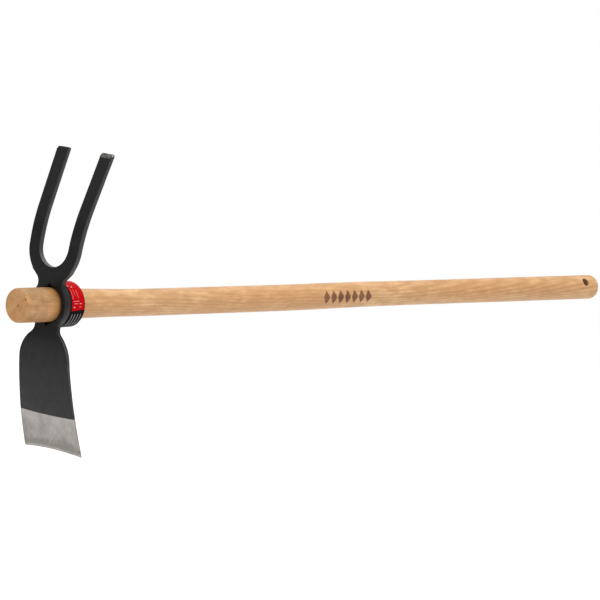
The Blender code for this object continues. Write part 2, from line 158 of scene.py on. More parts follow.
for name, place, size, power in LAMPS:
    light = bpy.data.lights.new(name, "AREA")
    light.size = size
    light.energy = power
    lamp = bpy.data.objects.new(name, light)
    bpy.context.collection.objects.link(lamp)
    lamp.location = place
    lamp.rotation_euler = (Vector(LAMPS_AIM) - lamp.location).to_track_quat("-Z", "Y").to_euler()


# Handle: a hardwood stick, turned between centres and sanded, thickest in the eye, slightly waisted
# before the grip end. Its arrises are rounded, a slanting hole is drilled to hang it by, and a row
# of lozenges is burnt into its side under a thin clear varnish.
HANDLE_LENGTH = 0.900
HEAD_END_ROUND = 0.0025
GRIP_END_ROUND = 0.0065
HEAD_ARRIS_STEPS = 8
GRIP_ARRIS_STEPS = 12
STICK_STEPS = 120
LATHE_STEPS = 128
# Stations of (x, radius) along the stick.
HANDLE_STATIONS = (
    (0.0, 0.01705), (0.034, 0.01705), (0.064, 0.0158), (0.094, 0.01455), (0.150, 0.0137),
    (0.400, 0.0137), (0.600, 0.01315), (0.870, 0.01345), (0.900, 0.01345),
)
HOLE_X = 0.8748
HOLE_RADIUS = 0.0045
HOLE_TILT = math.radians(34.5)
DRILL_LENGTH = 0.05
DRILL_STEPS = 64
CROOK = 0.0010
CROOK_START = 0.080
CROOK_RUN_IN = 0.100
CROOK_END = 0.370
CROOK_RUN_OUT = 0.150
BURNT_START = 0.430
BURNT_LENGTH = 0.077
BURNT_COUNT = 7
BURNT_HALF_ANGLE = math.radians(33)
LOZENGE_HALF_LENGTH = 0.47


def evenly(start, end, steps):
    """The values from start to end in equal steps, both ends included."""
    return [start + (end - start) * i / steps for i in range(steps + 1)]


def arc(centre, radius, start_angle, end_angle, steps):
    """Points of a circular arc, with angles counted from the first axis towards the second."""
    return [(centre[0] + radius * math.cos(a), centre[1] + radius * math.sin(a))
            for a in evenly(start_angle, end_angle, steps)]


def ease(value):
    """From 0 to 1 with a soft start and end, held outside them."""
    t = min(max(value, 0.0), 1.0)
    return t * t * (3 - 2 * t)


def handle_radius(x):
    """Radius of the stick at x, by cubic curves through its stations."""
    stations = HANDLE_STATIONS
    rates = [(b[1] - a[1]) / (b[0] - a[0]) for a, b in zip(stations, stations[1:])]
    inner_slopes = [2 * p * q / (p + q) if p * q > 0 else 0.0 for p, q in zip(rates, rates[1:])]
    slopes = [rates[0], *inner_slopes, rates[-1]]
    x = min(max(x, 0.0), HANDLE_LENGTH)
    i = max(i for i in range(len(rates)) if stations[i][0] <= x)
    (x0, r0), (x1, r1) = stations[i], stations[i + 1]
    span = x1 - x0
    t = (x - x0) / span
    return (r0 * (2 * t ** 3 - 3 * t ** 2 + 1) + r1 * (3 * t ** 2 - 2 * t ** 3)
            + slopes[i] * span * (t ** 3 - 2 * t ** 2 + t)
            + slopes[i + 1] * span * (t ** 3 - t ** 2))


def start_piece(name):
    """Names the primitive just added, puts its place into its mesh and opens it in edit mode."""
    piece = bpy.context.object
    piece.name = piece.data.name = name
    bpy.ops.object.transform_apply(location=True, rotation=True, scale=True)
    bpy.ops.object.mode_set(mode="EDIT")
    return piece


def turn(name, outline):
    """Extrudes a disc along X through an outline of (x, radius) stations, as on a lathe."""
    bpy.ops.object.select_all(action="DESELECT")
    bpy.ops.mesh.primitive_circle_add(vertices=LATHE_STEPS, radius=outline[0][1], fill_type="NGON",
                                      location=(outline[0][0], 0, 0), rotation=(0, math.pi / 2, 0))
    piece = start_piece(name)
    for (x0, r0), (x1, r1) in zip(outline, outline[1:]):
        bpy.ops.mesh.extrude_region_move(TRANSFORM_OT_translate={"value": (x1 - x0, 0, 0)})
        bpy.ops.transform.resize(value=(1, r1 / r0, r1 / r0), center_override=(x1, 0, 0))
    bpy.ops.mesh.select_all(action="SELECT")
    bpy.ops.mesh.normals_make_consistent(inside=False)
    bpy.ops.object.mode_set(mode="OBJECT")
    return piece


def make_active(piece):
    """Selects one piece alone and makes it the active one."""
    bpy.ops.object.select_all(action="DESELECT")
    piece.select_set(True)
    bpy.context.view_layer.objects.active = piece


def join_or_cut(piece, tool, operation):
    """Applies a Boolean with another piece, which is then removed."""
    make_active(piece)
    modifier = piece.modifiers.new("boolean", "BOOLEAN")
    modifier.operation = operation
    modifier.solver = "EXACT"
    modifier.object = tool
    bpy.ops.object.modifier_apply(modifier=modifier.name)
    bpy.data.objects.remove(tool, do_unlink=True)


def finish_piece(piece, material, node, sharp=35):
    """Gives a piece its material and keeps its sharp edges, and puts it in its CAD node's place."""
    piece.data.materials.clear()
    piece.data.materials.append(material)
    make_active(piece)
    bpy.ops.object.shade_smooth_by_angle(angle=math.radians(sharp))
    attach(piece, "root")
    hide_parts(node)


head_centre = (HEAD_END_ROUND, handle_radius(HEAD_END_ROUND) - HEAD_END_ROUND)
head_arris = arc(head_centre, HEAD_END_ROUND, math.pi, math.pi / 2, HEAD_ARRIS_STEPS)
grip_round_x = HANDLE_LENGTH - GRIP_END_ROUND
grip_centre = (grip_round_x, handle_radius(grip_round_x) - GRIP_END_ROUND)
grip_arris = arc(grip_centre, GRIP_END_ROUND, math.pi / 2, 0, GRIP_ARRIS_STEPS)
stick = [(x, handle_radius(x)) for x in evenly(HEAD_END_ROUND, grip_round_x, STICK_STEPS)[1:-1]]
handle = turn("wooden_handle", [*head_arris, *stick, *grip_arris])

bpy.ops.object.select_all(action="DESELECT")
bpy.ops.mesh.primitive_cylinder_add(vertices=DRILL_STEPS, radius=HOLE_RADIUS, depth=DRILL_LENGTH,
                                    location=(HOLE_X, 0, 0),
                                    rotation=(math.pi / 2 - HOLE_TILT, 0, 0))
drill = start_piece("drill")
bpy.ops.object.mode_set(mode="OBJECT")
join_or_cut(handle, drill, "DIFFERENCE")

for vertex in handle.data.vertices:
    run_in = ease((vertex.co.x - CROOK_START) / CROOK_RUN_IN)
    run_out = ease((vertex.co.x - CROOK_END) / CROOK_RUN_OUT)
    vertex.co.z -= CROOK * run_in * (1 - run_out)


def parts_of(vector):
    """The X, Y and Z of a vector, as sockets."""
    return add_node("ShaderNodeSeparateXYZ", {0: vector}).outputs


def hypotenuse(one_side, other_side):
    """The long side of a right-angled triangle, as a socket."""
    squares = calculate("ADD", calculate("POWER", one_side, 2.0),
                        calculate("POWER", other_side, 2.0))
    return calculate("SQRT", squares)


def noise_along(scale, detail=2.0, roughness=0.5, seed=0.0):
    """Noise on Object coordinates at a scale along each axis, in waves to the metre."""
    shift = (seed, seed, seed)
    stretched = add_node("ShaderNodeMapping", {"Vector": place, "Scale": scale, "Location": shift})
    grain = {"Vector": stretched.outputs[0], "Scale": 1.0, "Detail": detail, "Roughness": roughness}
    return add_node("ShaderNodeTexNoise", grain).outputs["Fac"]


def blend(factor, first, second, kind="MIX"):
    """Two colours mixed by a factor."""
    mixed = add_node("ShaderNodeMix", data_type="RGBA", blend_type=kind)
    for socket, value in ((0, factor), (6, first), (7, second)):
        if isinstance(value, bpy.types.NodeSocket):
            tree.links.new(value, mixed.inputs[socket])
        else:
            mixed.inputs[socket].default_value = value if socket == 0 else (*value, 1)
    return mixed.outputs[2]


# The wood's colours, from the pale early wood to the brown of its pores and of the burnt row, and
# the brown of its dark spots and of the painted shade in its hanging hole.
PALE_WOOD = (0.775, 0.497, 0.258)
DEEP_WOOD = (0.42, 0.215, 0.088)
HEART_TINT = (0.50, 0.235, 0.080)
PORE_BROWN = (0.30, 0.145, 0.055)
BURNT_BROWN = (0.115, 0.034, 0.012)
SPOT_AND_HOLE_SHADE_BROWN = (0.11, 0.045, 0.015)
# The stub before the eye, with painted shade over it and more on its top, its orange and its end
# face, and the painted shade where the stick goes into the eye.
STUB_SHADE_DARK = (0.70, 0.69, 0.71)
STUB_SHADE_LIGHT = (0.95, 0.96, 0.98)
SOAKED_ORANGE = (0.62, 0.27, 0.075)
STUB_TOP_SHADE = (0.73, 0.71, 0.62)
END_FACE_TINT = (1.0, 0.90, 0.79)
EYE_SHADE_BROWN = (0.40, 0.17, 0.045)
STUB_FADE = (0.045, 0.075)
TOP_SHADE_START = 0.004
TOP_SHADE_HEIGHTS = (0.003, 0.015)
EYE_SHADE_START = 0.030
EYE_SHADE_PEAK = 0.0425
EYE_SHADE_END = 0.080
# The growth rings' centre beside the stick, their width, and how far the grain falls along it.
GROWTH_CENTRE = (0.016, -0.036)
GROWTH_RING = 0.0031
RING_WANDER = 0.011
LATE_WOOD_SHARE = 0.62
GRAIN_SLOPE = 0.035
GRAIN_TURN = 0.540
GRIP_GRAIN_START = 0.640
GRIP_GRAIN_SLOPE = 0.075
# The end face is the wood up to this x. Two dark spots stand in it, at these (y, z) places.
END_FACE_DEPTH = 0.0012
END_SPOTS = ((-0.0018, 0.0004), (-0.0116, 0.0076))
END_SPOT_RADII = (0.0005, 0.0018)
END_SPOT_RAGGED = 0.0004

wood, tree, shader = new_material("varnished_wood")
place = add_node("ShaderNodeTexCoord").outputs["Object"]
along, across, up = parts_of(place)
wander = calculate("MULTIPLY", noise_along((4.5, 26, 26), detail=3), RING_WANDER)
side_offset = calculate("SUBTRACT", across, GROWTH_CENTRE[0])
past_turn = calculate("MAXIMUM", calculate("SUBTRACT", along, GRAIN_TURN), 0.0)
grain_fall = calculate("SUBTRACT", calculate("MULTIPLY", along, GRAIN_SLOPE),
                       calculate("MULTIPLY", past_turn, GRAIN_SLOPE + GRIP_GRAIN_SLOPE))
up_offset = calculate("SUBTRACT", calculate("ADD", up, grain_fall), GROWTH_CENTRE[1])
from_centre = calculate("ADD", hypotenuse(side_offset, up_offset), wander)
ring = calculate("FRACT", calculate("DIVIDE", from_centre, GROWTH_RING))
late_wood = remap(calculate("PINGPONG", ring, LATE_WOOD_SHARE), 0.18, LATE_WOOD_SHARE,
                  curve="SMOOTHSTEP")
ring_strength = calculate("ADD", remap(along, 0.0, END_FACE_DEPTH, 0.22, 0.42),
                          remap(along, GRAIN_TURN, GRIP_GRAIN_START, 0.0, 0.20))
fibres = remap(noise_along((14, 900, 900), detail=3, roughness=0.6), 0.3, 0.7)
mottle = remap(noise_along((46, 120, 120), detail=4), 0.38, 0.62)
flecks = remap(noise_along((95, 560, 560), detail=3, seed=9.0), 0.42, 0.66)
patches = remap(noise_along((7, 32, 32), detail=3, seed=3.0), 0.40, 0.66)
pores = remap(noise_along((70, 1500, 1500), detail=1), 0.62, 0.70)
fine_pores = remap(noise_along((120, 2600, 2600), detail=1, seed=5.0), 0.60, 0.72)

# Each figure of the wood, how strongly it shows, and the colour that it takes the wood towards.
wood_colour = PALE_WOOD
for figure, strength, tint in (
    (late_wood, ring_strength, DEEP_WOOD), (fibres, 0.42, DEEP_WOOD), (mottle, 0.52, DEEP_WOOD),
    (flecks, 0.38, DEEP_WOOD), (patches, 0.42, HEART_TINT), (pores, 0.45, PORE_BROWN),
    (fine_pores, 0.25, PORE_BROWN),
):
    wood_colour = blend(calculate("MULTIPLY", figure, strength), wood_colour, tint)

in_stub = remap(along, *STUB_FADE, 1.0, 0.0)
# Painted shade: the stub before the eye is darkened, in blotches, and less on its end face.
blotches = remap(noise_along((120, 120, 120), detail=3, seed=7.0), 0.35, 0.65)
stub_shade = blend(blotches, STUB_SHADE_DARK, STUB_SHADE_LIGHT)
side_grain = remap(along, 0.0, END_FACE_DEPTH, 0.45, 1.0)
wood_colour = blend(calculate("MULTIPLY", in_stub, side_grain), wood_colour, stub_shade, "MULTIPLY")
end_grain = remap(along, 0.0, END_FACE_DEPTH, 1.0, 0.0)
wood_colour = blend(end_grain, wood_colour, END_FACE_TINT, "MULTIPLY")
# Painted shade: the top of the stub is darkened further.
stub_top_shade = calculate("MULTIPLY", calculate("MULTIPLY", in_stub, remap(along, 0.0, TOP_SHADE_START)),
                    remap(up, *TOP_SHADE_HEIGHTS))
wood_colour = blend(stub_top_shade, wood_colour, STUB_TOP_SHADE, "MULTIPLY")
orange = remap(noise_along((45, 75, 75), detail=2, seed=11.0), 0.50, 0.66, 0.0, 0.30)
wood_colour = blend(calculate("MULTIPLY", in_stub, orange), wood_colour, SOAKED_ORANGE)
spot_rim = calculate("MULTIPLY", fibres, END_SPOT_RAGGED)
for spot_y, spot_z in END_SPOTS:
    off_spot = add_node("ShaderNodeVectorMath", {0: place, 1: (0, spot_y, spot_z)},
                        operation="DISTANCE").outputs["Value"]
    off_spot = calculate("ADD", off_spot, spot_rim)
    wood_colour = blend(remap(off_spot, *END_SPOT_RADII, 0.9, 0.0), wood_colour, SPOT_AND_HOLE_SHADE_BROWN)
# Painted shade: the wood is darkened brown where the stick goes into the eye.
before_eye = remap(along, EYE_SHADE_START, EYE_SHADE_PEAK, curve="SMOOTHSTEP")
behind_eye = remap(along, EYE_SHADE_PEAK, EYE_SHADE_END, 1.0, 0.0)
eye_shade = calculate("MULTIPLY", before_eye, behind_eye)
wood_colour = blend(calculate("MULTIPLY", eye_shade, 0.6), wood_colour, EYE_SHADE_BROWN)
# Painted shade: the walls and the rim of the hanging hole are darkened.
across_hole = (0, math.sin(HOLE_TILT), math.cos(HOLE_TILT))
hole_offset = add_node("ShaderNodeVectorMath", {0: place, 1: across_hole},
                       operation="DOT_PRODUCT").outputs["Value"]
off_hole = hypotenuse(hole_offset, calculate("SUBTRACT", along, HOLE_X))
hole_shade = remap(off_hole, HOLE_RADIUS * 1.01, HOLE_RADIUS * 1.06, 0.5, 0.0)
wood_colour = blend(hole_shade, wood_colour, SPOT_AND_HOLE_SHADE_BROWN)

angle = calculate("ARCTAN2", up, calculate("MULTIPLY", across, -1.0))
cell = calculate("DIVIDE", calculate("SUBTRACT", along, BURNT_START), BURNT_LENGTH / BURNT_COUNT)
from_middle = calculate("ABSOLUTE", calculate("SUBTRACT", calculate("FRACT", cell), 0.5))
lozenge = calculate("ADD", calculate("DIVIDE", from_middle, LOZENGE_HALF_LENGTH),
                    calculate("DIVIDE", calculate("ABSOLUTE", angle), BURNT_HALF_ANGLE))
ragged = calculate("ADD", lozenge, calculate("MULTIPLY", calculate("SUBTRACT", fibres, 0.5), 0.16))
in_row = calculate("COMPARE", along, BURNT_START + BURNT_LENGTH / 2, BURNT_LENGTH / 2)
scorched = calculate("MULTIPLY", remap(ragged, 0.9, 1.45, 1.0, 0.0), in_row)
wood_colour = blend(calculate("MULTIPLY", scorched, 0.35), wood_colour, HEART_TINT)
burnt = calculate("MULTIPLY", remap(ragged, 0.86, 1.04, 1.0, 0.0, curve="SMOOTHSTEP"), in_row)
burnt_through = calculate("MULTIPLY", burnt, remap(mottle, 0.0, 1.0, 0.80, 0.97))
wood_colour = blend(burnt_through, wood_colour, BURNT_BROWN)
tree.links.new(wood_colour, shader.inputs["Base Color"])
tree.links.new(remap(fibres, 0, 1, 0.42, 0.56), shader.inputs["Roughness"])
shader.inputs["Specular IOR Level"].default_value = 0.3
height = calculate("MULTIPLY", fibres, 0.5)
for hollow, depth in ((pores, 0.8), (burnt, 3.0)):
    height = calculate("SUBTRACT", height, calculate("MULTIPLY", hollow, depth))
bump = add_node("ShaderNodeBump", {"Height": height, "Strength": 0.5, "Distance": 0.00008})
tree.links.new(bump.outputs[0], shader.inputs["Normal"])
finish_piece(handle, wood, "handle")


# Head: one forging in medium carbon steel. The eye is punched through the middle and drawn back
# into a collar, two tines stand above it and a broad blade hangs below it. It is dipped in satin
# black lacquer, and the lower blade is ground bare on its front face.
EYE_FRONT = 0.0421
EYE_RADIUS = 0.0240
EYE_LENGTH = 0.0302
COLLAR_RADIUS = 0.0229
COLLAR_BACK_RADIUS = 0.0219
COLLAR_ROUND = 0.0012
COLLAR_ROUND_STEPS = 6
MOUTH_CHAMFER = 0.0018
BORE_OVERRUN = 0.006
BORE_STEPS = 10
FIT_CLEARANCE = 0.0003
NOTCH_WIDTH = 0.0055
NOTCH_DEPTH = 0.0032
NOTCH_BAR = 0.006
NOTCH_LEAN = 0.0032
NOTCH_ROUND = 0.0014
FORK_HEIGHT = 0.1528
FORK_WIDTH_AT_BEND = 0.0690
FORK_WIDTH_AT_TIPS = 0.0772
FORK_OUTER_RADIUS = 0.0388
FORK_BEND_HEIGHT = 0.0578
CROTCH_HEIGHT = 0.0372
GAP_AT_BEND = 0.0400
GAP_AT_TIPS = 0.0452
FORK_ROOT_THICKNESS = 0.0060
TINE_TIP_THICKNESS = 0.0045
TIP_BEVEL_LENGTH = 0.0030
TIP_BEVEL_DEPTH = 0.0014
TIP_CORNER = 0.0014
TIP_CORNER_INSET = 0.6
FORK_CURVE_START = 0.0335
FORK_CURVE_RADIUS = 0.1750
FORK_LEAN = math.radians(20.9)
BLADE_DEPTH = 0.1473
SHOULDER_DEPTH = 0.0565
SHOULDER_RADIUS = 0.0340
BLADE_WIDTH_AT_SHOULDER = 0.0680
BLADE_WIDTH_AT_EDGE = 0.0804
EDGE_HOLLOW = 0.0026
GRIND_BOW = 0.0010
BLADE_DISH = 0.0012
BLADE_ROOT_THICKNESS = 0.0052
BLADE_TIP_THICKNESS = 0.0018
GRIND_LENGTH = 0.0389
EDGE_THICKNESS = 0.0007
HONED_LENGTH = 0.0032
HONED_DEPTH = 0.0003
BLADE_SET_FORWARD = 0.0019
BLADE_CURVE_START = 0.0360
BLADE_UPPER_RADIUS = 0.185
BLADE_UPPER_LEAN = math.radians(10.2)
BLADE_LOWER_RADIUS = 0.520
NECK_FILLET = 0.0089
ROOT_FILLET = 0.0030
FILLET_RISE = 0.0016
RIM_ROUND = 0.0008
RIM_SHARPNESS = math.radians(60)
SLAB = 0.0060
HEAD_COLUMNS = 60
RIM_COLUMN = 0.93
TINE_COLUMNS = 10
# Rows of faces in each stretch of the head, from the cutting edge up to the tips.
HONED_ROWS = 2
GRIND_ROWS = 18
BLADE_ROWS = 26
SHOULDER_ROWS = 24
FILLET_ROWS = 12
EYE_ROWS = 30
BEND_ROWS = 22
TINE_ROWS = 40
SAME_PLACE = 1e-6
# The hammered surface: its depth, its waves to the metre, and where it begins beside the bore and
# above the ground face.
UNEVENNESS = 0.00012
HAMMER_WAVES = 110
SMOOTH_AROUND_BORE = 0.0185
BORE_FADE = 0.003
GRIND_FADE = 0.010


def touching_centre(centre_a, radius_a, centre_b, radius_b, radius):
    """Centre, on the +Y side, of the circle that touches two others from outside."""
    gap = math.dist(centre_a, centre_b)
    way = ((centre_b[0] - centre_a[0]) / gap, (centre_b[1] - centre_a[1]) / gap)
    reach_a, reach_b = radius_a + radius, radius_b + radius
    distance = (reach_a ** 2 - reach_b ** 2 + gap ** 2) / (2 * gap)
    offset = math.sqrt(reach_a ** 2 - distance ** 2)
    return max((centre_a[0] + distance * way[0] + side * offset * way[1],
                centre_a[1] + distance * way[1] - side * offset * way[0]) for side in (-1, 1))


def angle_of(centre, point):
    """The direction from a centre to a point, in radians."""
    return math.atan2(point[1] - centre[1], point[0] - centre[0])


def between(start, end, t):
    """The point a share t of the way from start to end."""
    return (start[0] + t * (end[0] - start[0]), start[1] + t * (end[1] - start[1]))


SHOULDER_CENTRE = (BLADE_WIDTH_AT_SHOULDER / 2 - SHOULDER_RADIUS, -SHOULDER_DEPTH)
FORK_CENTRE = (FORK_WIDTH_AT_BEND / 2 - FORK_OUTER_RADIUS, FORK_BEND_HEIGHT)
EYE_CENTRE = (0.0, 0.0)
CROTCH_RADIUS = GAP_AT_BEND / 2
CROTCH_CENTRE = (0.0, CROTCH_HEIGHT + CROTCH_RADIUS)
LOWER_FILLET = touching_centre(EYE_CENTRE, EYE_RADIUS, SHOULDER_CENTRE, SHOULDER_RADIUS,
                               NECK_FILLET)
UPPER_FILLET = touching_centre(EYE_CENTRE, EYE_RADIUS, FORK_CENTRE, FORK_OUTER_RADIUS,
                               NECK_FILLET)
GRIND_TOP = GRIND_LENGTH - BLADE_DEPTH
HONED_TOP = HONED_LENGTH - BLADE_DEPTH


def row_rise(z):
    """How far a row of the blade stands higher in the middle than at its sides."""
    if z < GRIND_TOP:
        share = (GRIND_TOP - z) / GRIND_LENGTH
        return share * EDGE_HOLLOW - (1 - share) * GRIND_BOW
    return -max(0.0, (z + SHOULDER_DEPTH) / (GRIND_TOP + SHOULDER_DEPTH)) * GRIND_BOW


def blade_and_neck_rows():
    """Rows of (y, z) places across the head, from the cutting edge up to the fork's root."""
    full_circle = 2 * math.pi
    edge = (BLADE_WIDTH_AT_EDGE / 2, -BLADE_DEPTH)
    shoulder = (BLADE_WIDTH_AT_SHOULDER / 2, -SHOULDER_DEPTH)
    heights = [*evenly(edge[1], HONED_TOP, HONED_ROWS),
               *evenly(HONED_TOP, GRIND_TOP, GRIND_ROWS)[1:],
               *evenly(GRIND_TOP, shoulder[1], BLADE_ROWS)[1:]]
    sides = [between(edge, shoulder, (z - edge[1]) / (shoulder[1] - edge[1])) for z in heights]
    sides += arc(SHOULDER_CENTRE, SHOULDER_RADIUS, 0,
                 angle_of(SHOULDER_CENTRE, LOWER_FILLET), SHOULDER_ROWS)[1:]
    sides += arc(LOWER_FILLET, NECK_FILLET, angle_of(LOWER_FILLET, SHOULDER_CENTRE) % full_circle,
                 angle_of(LOWER_FILLET, EYE_CENTRE) % full_circle, FILLET_ROWS)[1:]
    sides += arc(EYE_CENTRE, EYE_RADIUS, angle_of(EYE_CENTRE, LOWER_FILLET),
                 angle_of(EYE_CENTRE, UPPER_FILLET), EYE_ROWS)[1:]
    neck = arc(UPPER_FILLET, NECK_FILLET, angle_of(UPPER_FILLET, EYE_CENTRE) % full_circle,
               angle_of(UPPER_FILLET, FORK_CENTRE) % full_circle, FILLET_ROWS)[1:]
    shares = [-1, *evenly(-RIM_COLUMN, RIM_COLUMN, HEAD_COLUMNS - 2), 1]
    rows = [[(half * s, z + row_rise(z) * (1 - s * s)) for s in shares] for half, z in sides]
    root_half, root_z = neck[-1]
    root_radius = math.dist(CROTCH_CENTRE, neck[-1])
    sag = [CROTCH_CENTRE[1] - math.sqrt(root_radius ** 2 - (root_half * s) ** 2) - root_z
           for s in shares]
    for step, (half, z) in enumerate(neck, start=1):
        rows.append([(half * s, z + step / len(neck) * dip) for s, dip in zip(shares, sag)])
    return rows


def tine_strips():
    """Strips of (y, z) places across the +Y tine, from just above its root to its rounded tip."""
    root_angle = angle_of(FORK_CENTRE, UPPER_FILLET)
    outer = arc(FORK_CENTRE, FORK_OUTER_RADIUS, root_angle, 0, BEND_ROWS)[1:]
    tangent = arc(FORK_CENTRE, FORK_OUTER_RADIUS, root_angle, root_angle, 1)[0]
    inner = arc(CROTCH_CENTRE, CROTCH_RADIUS, angle_of(CROTCH_CENTRE, tangent), 0, BEND_ROWS)[1:]
    straight = FORK_HEIGHT - FORK_BEND_HEIGHT
    heights = [*evenly(0, straight - TIP_BEVEL_LENGTH, TINE_ROWS)[1:],
               straight - TIP_CORNER / 2, straight]
    outer_tip, inner_tip = (FORK_WIDTH_AT_TIPS / 2, FORK_HEIGHT), (GAP_AT_TIPS / 2, FORK_HEIGHT)
    strips = list(zip(outer, inner))
    for height in heights:
        rounded = max(TIP_CORNER - (straight - height), 0.0)
        inset = rounded ** 2 / TIP_CORNER * TIP_CORNER_INSET
        out = between(outer[-1], outer_tip, height / straight)
        into = between(inner[-1], inner_tip, height / straight)
        strips.append(((out[0] - inset, out[1]), (into[0] + inset, into[1])))
    return [[between(out, into, t) for t in evenly(0, 1, TINE_COLUMNS)] for out, into in strips]


def fork_curve(distance):
    """Backward offset and lean of the fork past its curve's start: an arc, then straight."""
    span = FORK_CURVE_RADIUS * math.sin(FORK_LEAN)
    lean = math.asin(min(max(distance, 0.0), span) / FORK_CURVE_RADIUS)
    offset = FORK_CURVE_RADIUS * (1 - math.cos(lean))
    return offset + max(distance - span, 0.0) * math.tan(FORK_LEAN), lean


def blade_curve(distance):
    """Backward offset and lean of the blade past its curve's start: a tight, then a wide arc."""
    span = BLADE_UPPER_RADIUS * math.sin(BLADE_UPPER_LEAN)
    lean = math.asin(min(max(distance, 0.0), span) / BLADE_UPPER_RADIUS)
    offset = BLADE_UPPER_RADIUS * (1 - math.cos(lean))
    if distance <= span:
        return offset, lean
    lean = math.asin((distance - span) / BLADE_LOWER_RADIUS + math.sin(BLADE_UPPER_LEAN))
    return offset + BLADE_LOWER_RADIUS * (math.cos(BLADE_UPPER_LEAN) - math.cos(lean)), lean


def forged_section(y, z):
    """The head at a place of its outline: front x, lean, depth cut from the front, thickness."""
    if z >= 0:
        back, lean = fork_curve(z - FORK_CURVE_START)
        share = ease((z - CROTCH_HEIGHT) / (FORK_HEIGHT - CROTCH_HEIGHT))
        thickness = FORK_ROOT_THICKNESS + share * (TINE_TIP_THICKNESS - FORK_ROOT_THICKNESS)
        cut = TIP_BEVEL_DEPTH * max(0.0, 1 - (FORK_HEIGHT - z) / TIP_BEVEL_LENGTH)
    else:
        back, lean = blade_curve(-z - BLADE_CURVE_START)
        lean = -lean
        forward_share = ease((-z - EYE_RADIUS / 2) / (BLADE_CURVE_START - EYE_RADIUS / 2))
        back -= BLADE_SET_FORWARD * forward_share
        thinning = BLADE_ROOT_THICKNESS - FORK_ROOT_THICKNESS
        root = FORK_ROOT_THICKNESS + ease(-z / EYE_RADIUS) * thinning
        below_eye = max(0.0, -z - EYE_RADIUS) / (BLADE_DEPTH - EYE_RADIUS)
        thickness = root + below_eye * (BLADE_TIP_THICKNESS - root)
        across_blade = (2 * y / BLADE_WIDTH_AT_EDGE) ** 2
        grind_line = GRIND_TOP + row_rise(GRIND_TOP) * (1 - across_blade)
        cut = (BLADE_TIP_THICKNESS - EDGE_THICKNESS) * max(0.0, (grind_line - z) / GRIND_LENGTH)
        honed_line = HONED_TOP + row_rise(HONED_TOP) * (1 - across_blade)
        cut += HONED_DEPTH * max(0.0, (honed_line - z) / HONED_LENGTH)
        dish = ease((-z - SHOULDER_DEPTH / 2) / (BLADE_DEPTH - SHOULDER_DEPTH / 2))
        back += BLADE_DISH * dish * across_blade
    into_fillet = min(max((COLLAR_RADIUS - math.hypot(y, z)) / ROOT_FILLET + 1, 0.0), 2.0)
    return EYE_FRONT + back, lean, cut, thickness + FILLET_RISE * into_fillet ** 2


def select_row(piece, wanted):
    """In edit mode, selects only the flat sheet's vertices whose (y, z) place is wanted."""
    bpy.ops.mesh.select_all(action="DESELECT")
    bm = bmesh.from_edit_mesh(piece.data)
    for vertex in bm.verts:
        vertex.select = wanted(vertex.co.y, vertex.co.z)
    bm.select_flush_mode()
    bmesh.update_edit_mesh(piece.data)


def lay_row(piece, places):
    """Lays the selected row's vertices on (y, z) places, in order across the head."""
    bm = bmesh.from_edit_mesh(piece.data)
    row = sorted((v for v in bm.verts if v.select), key=lambda v: v.co.y)
    for vertex, (y, z) in zip(row, sorted(places)):
        vertex.co = (0, y, z)
    bmesh.update_edit_mesh(piece.data)


def extrude_rows(piece, rows):
    """Extrudes the selected row of edges again and again, on to each of the given rows."""
    for places in rows:
        bpy.ops.mesh.extrude_region_move(TRANSFORM_OT_translate={"value": (0, 0, 0)})
        lay_row(piece, places)


# The head begins as a flat sheet at x = 0, extruded row by row from the edge up to the fork's root,
# then round the crotch and up each tine. It gets its thickness and rounded rims as a flat slab, and
# each vertex then moves to its place on the curved forging.
rows = blade_and_neck_rows()
bpy.ops.object.select_all(action="DESELECT")
bpy.ops.mesh.primitive_grid_add(x_subdivisions=HEAD_COLUMNS, y_subdivisions=1, size=0.1,
                                rotation=(math.pi / 2, 0, math.pi / 2))
head = start_piece("forged_head")
bpy.ops.mesh.select_mode(type="VERT")
select_row(head, lambda y, z: z < 0)
lay_row(head, rows[0])
select_row(head, lambda y, z: z > 0)
lay_row(head, rows[1])
extrude_rows(head, rows[2:])
ways = [angle_of(CROTCH_CENTRE, place_on_row) for place_on_row in rows[-1]]
crotch = [arc(CROTCH_CENTRE, CROTCH_RADIUS, way, way, 1)[0] for way in ways]
crotch_rows = [[between(start, end, t) for start, end in zip(rows[-1], crotch)]
               for t in evenly(0, 1, TINE_COLUMNS)[1:]]
extrude_rows(head, crotch_rows)
for side in (1, -1):
    root_strip = [max(row, key=lambda p: side * p[0]) for row in (rows[-1], *crotch_rows)]
    select_row(head, lambda y, z: any(math.dist((y, z), point) < SAME_PLACE
                                      for point in root_strip))
    extrude_rows(head, [[(side * y, z) for y, z in strip] for strip in tine_strips()])
bpy.ops.mesh.select_all(action="SELECT")
bpy.ops.mesh.normals_make_consistent(inside=False)
bpy.ops.object.mode_set(mode="OBJECT")

solidify = head.modifiers.new("thickness", "SOLIDIFY")
solidify.thickness = SLAB
solidify.offset = 0
bpy.ops.object.modifier_apply(modifier=solidify.name)
bpy.ops.object.mode_set(mode="EDIT")
bpy.ops.mesh.select_all(action="SELECT")
bpy.ops.mesh.normals_make_consistent(inside=False)
bpy.ops.mesh.select_all(action="DESELECT")
bpy.ops.mesh.select_mode(type="EDGE")
bpy.ops.mesh.edges_select_sharp(sharpness=RIM_SHARPNESS)
bpy.ops.mesh.bevel(offset=RIM_ROUND, segments=3, affect="EDGES", clamp_overlap=False)
bpy.ops.object.mode_set(mode="OBJECT")
for vertex in head.data.vertices:
    share = min(max(vertex.co.x / SLAB + 0.5, 0.0), 1.0)
    x, lean, cut, thickness = forged_section(vertex.co.y, vertex.co.z)
    depth = cut + share * (thickness - cut)
    vertex.co = (x + depth * math.cos(lean), vertex.co.y, vertex.co.z - depth * math.sin(lean))

